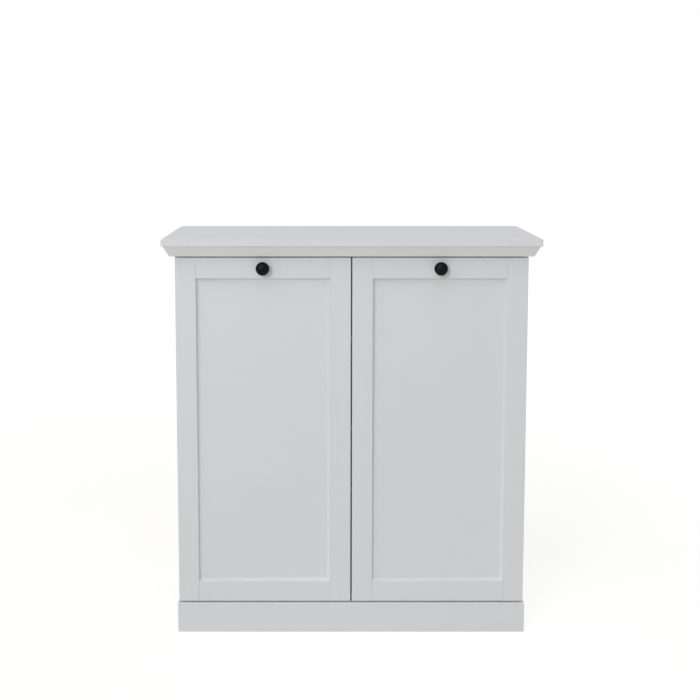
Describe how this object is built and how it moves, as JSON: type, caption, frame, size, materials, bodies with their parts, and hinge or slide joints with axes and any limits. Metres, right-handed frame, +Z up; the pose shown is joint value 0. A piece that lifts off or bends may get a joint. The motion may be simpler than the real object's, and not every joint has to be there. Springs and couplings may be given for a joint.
{
  "type": "tilt-out laundry cabinet",
  "caption": "White framed laundry cabinet: tall flaps hinged at the foot tip out on slotted stays, each with a wire-framed bag, under a worktop with a cornice.",
  "frame": {"origin": "on the floor, under the middle of the worktop", "axes": "+X to the right seen from the front, +Y from the flaps to the back, +Z up"},
  "size_m": [0.854, 0.4, 0.92],
  "materials": {
    "white_foil": "matt white lacquer foil on fibreboard",
    "white_inner_foil": "matt white melamine on chipboard",
    "beech": "bare sanded beech",
    "zinc_casting": "bare die casting",
    "zinc_plated_steel": "bright zinc plate",
    "nickelled_steel": "nickel plate",
    "chromed_wire": "bright",
    "black_iron": "satin black",
    "clear_plastic": "milky natural plastic",
    "cotton_canvas": "plain woven undyed cotton"
  },
  "bodies": {
    "cabinet": {"top_panel": "white_foil", "cornice_front": "white_foil", "cornice_left": "white_foil", "cornice_right": "white_foil", "side_panel_left": "white_foil", "side_panel_right": "white_foil", "back_panel_left": "white_foil", "back_panel_right": "white_foil", "plinth_front": "white_foil", "plinth_left": "white_foil", "plinth_right": "white_foil", "top_rail_front": "white_inner_foil", "top_rail_back": "white_inner_foil", "centre_partition": "white_inner_foil", "bottom_panel": "white_inner_foil", "plinth_back": "white_inner_foil", "plinth_blocks": "beech", "wooden_dowels": "beech", "cam_discs": "zinc_casting", "magnets": "zinc_casting", "cam_bolts": "zinc_plated_steel", "back_nails": "zinc_plated_steel", "cabinet_screws": "zinc_plated_steel", "wall_plates": "zinc_plated_steel", "gap_spacers": "clear_plastic", "stay_studs": "zinc_plated_steel", "hinge_plates": "nickelled_steel", "hinge_arms": "nickelled_steel"},
    "left_flap": {"stile_outer_left": "white_foil", "stile_inner_left": "white_foil", "rail_top_left": "white_foil", "rail_bottom_left": "white_foil", "panel_left": "white_foil", "knob_left": "black_iron", "knob_screw_left": "zinc_plated_steel", "strike_plate_left": "zinc_plated_steel", "hinge_cups_left": "nickelled_steel", "flap_screws_left": "zinc_plated_steel", "stay_brackets_left": "zinc_plated_steel", "wire_clips_left": "clear_plastic", "bag_frame_left": "chromed_wire", "laundry_bag_left": "cotton_canvas"},
    "left_hinge_links": {"hinge_links_left": "nickelled_steel"},
    "left_stays": {"stays_left": "zinc_plated_steel"},
    "right_flap": {"stile_outer_right": "white_foil", "stile_inner_right": "white_foil", "rail_top_right": "white_foil", "rail_bottom_right": "white_foil", "panel_right": "white_foil", "knob_right": "black_iron", "knob_screw_right": "zinc_plated_steel", "strike_plate_right": "zinc_plated_steel", "hinge_cups_right": "nickelled_steel", "flap_screws_right": "zinc_plated_steel", "stay_brackets_right": "zinc_plated_steel", "wire_clips_right": "clear_plastic", "bag_frame_right": "chromed_wire", "laundry_bag_right": "cotton_canvas"},
    "right_hinge_links": {"hinge_links_right": "nickelled_steel"},
    "right_stays": {"stays_right": "zinc_plated_steel"}
  },
  "joints": [
    {"name": "left_flap_tilt", "type": "hinge", "parent": "cabinet", "child": "left_flap", "pos_m": [0, -0.168, 0.078], "axis": [1, 0, 0], "range_deg": [0, 30]},
    {"name": "left_hinge_link_turn", "type": "hinge", "parent": "cabinet", "child": "left_hinge_links", "pos_m": [0, -0.148, 0.11264], "axis": [1, 0, 0], "range_deg": [-18.5, 0]},
    {"name": "left_stay_turn", "type": "hinge", "parent": "left_flap", "child": "left_stays", "pos_m": [0, -0.135, 0.376], "axis": [1, 0, 0], "range_deg": [-15.1, 0]},
    {"name": "right_flap_tilt", "type": "hinge", "parent": "cabinet", "child": "right_flap", "pos_m": [0, -0.168, 0.078], "axis": [1, 0, 0], "range_deg": [0, 30]},
    {"name": "right_hinge_link_turn", "type": "hinge", "parent": "cabinet", "child": "right_hinge_links", "pos_m": [0, -0.148, 0.11264], "axis": [1, 0, 0], "range_deg": [-18.5, 0]},
    {"name": "right_stay_turn", "type": "hinge", "parent": "right_flap", "child": "right_stays", "pos_m": [0, -0.135, 0.376], "axis": [1, 0, 0], "range_deg": [-15.1, 0]}
  ],
  "couplings": [
    {"joint": "left_hinge_link_turn", "follows": "left_flap_tilt", "ratio": -0.61327},
    {"joint": "left_stay_turn", "follows": "left_flap_tilt", "ratio": -0.5},
    {"joint": "right_hinge_link_turn", "follows": "right_flap_tilt", "ratio": -0.61327},
    {"joint": "right_stay_turn", "follows": "right_flap_tilt", "ratio": -0.5}
  ]
}
